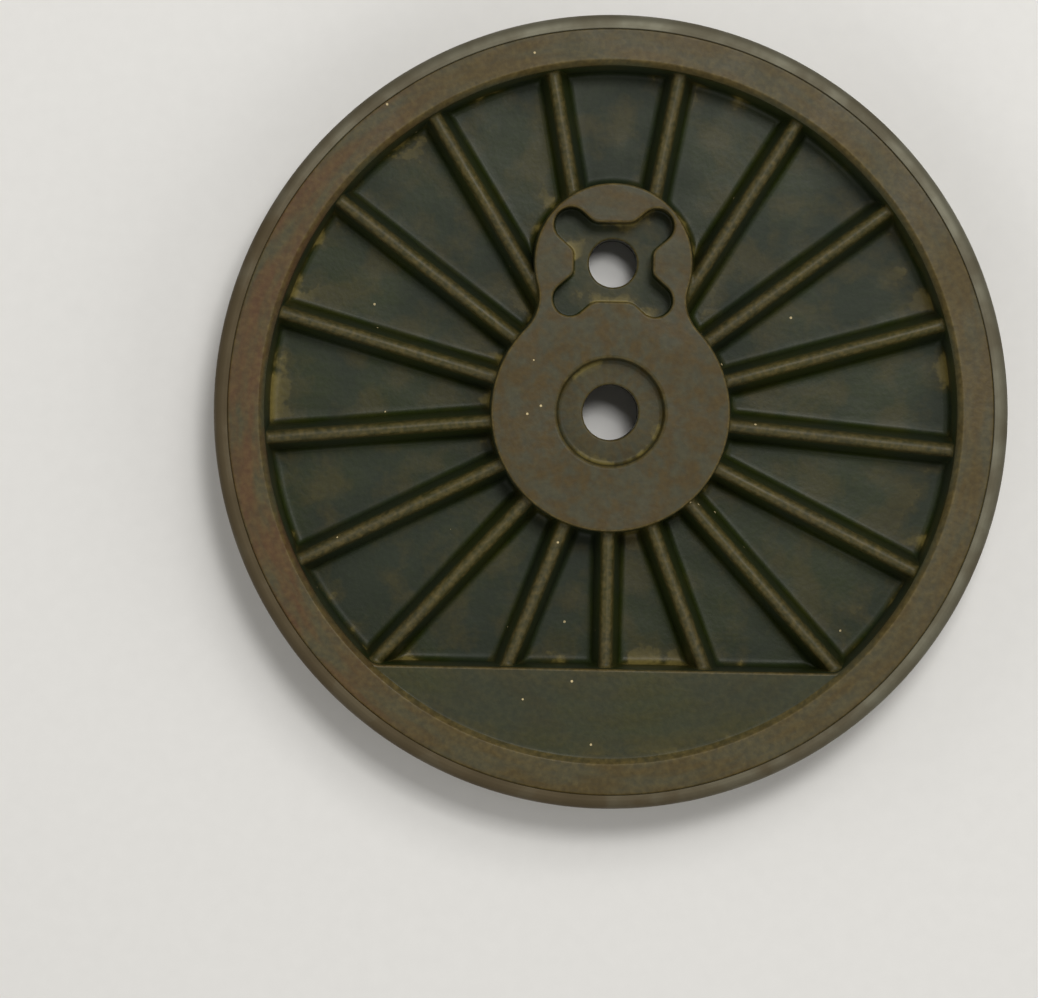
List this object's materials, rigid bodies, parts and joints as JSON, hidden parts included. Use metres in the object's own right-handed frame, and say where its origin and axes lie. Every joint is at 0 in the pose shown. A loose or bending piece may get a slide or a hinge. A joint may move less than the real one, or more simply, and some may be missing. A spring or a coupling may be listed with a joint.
{
  "type": "model locomotive driving wheel",
  "caption": "Spoked driving wheel for a model steam locomotive: a cast centre with crank boss, keyed pocket and counterweight, and a plain pressed-on tyre.",
  "frame": {"origin": "on the wheel's axis, in the plane of its back face", "axes": "+Z along the axis out of the spoked front face, +Y from the axis to the crank boss, -Y to the counterweight"},
  "size_m": [0.0426, 0.0426, 0.0063],
  "materials": {
    "wheel_centre": "dull brown-green, worn and stained cast surface",
    "tyre": "dulled grey steel with a stained tread"
  },
  "bodies": {
    "root": {"wheel_centre": "wheel_centre", "tyre": "tyre"}
  },
  "joints": []
}
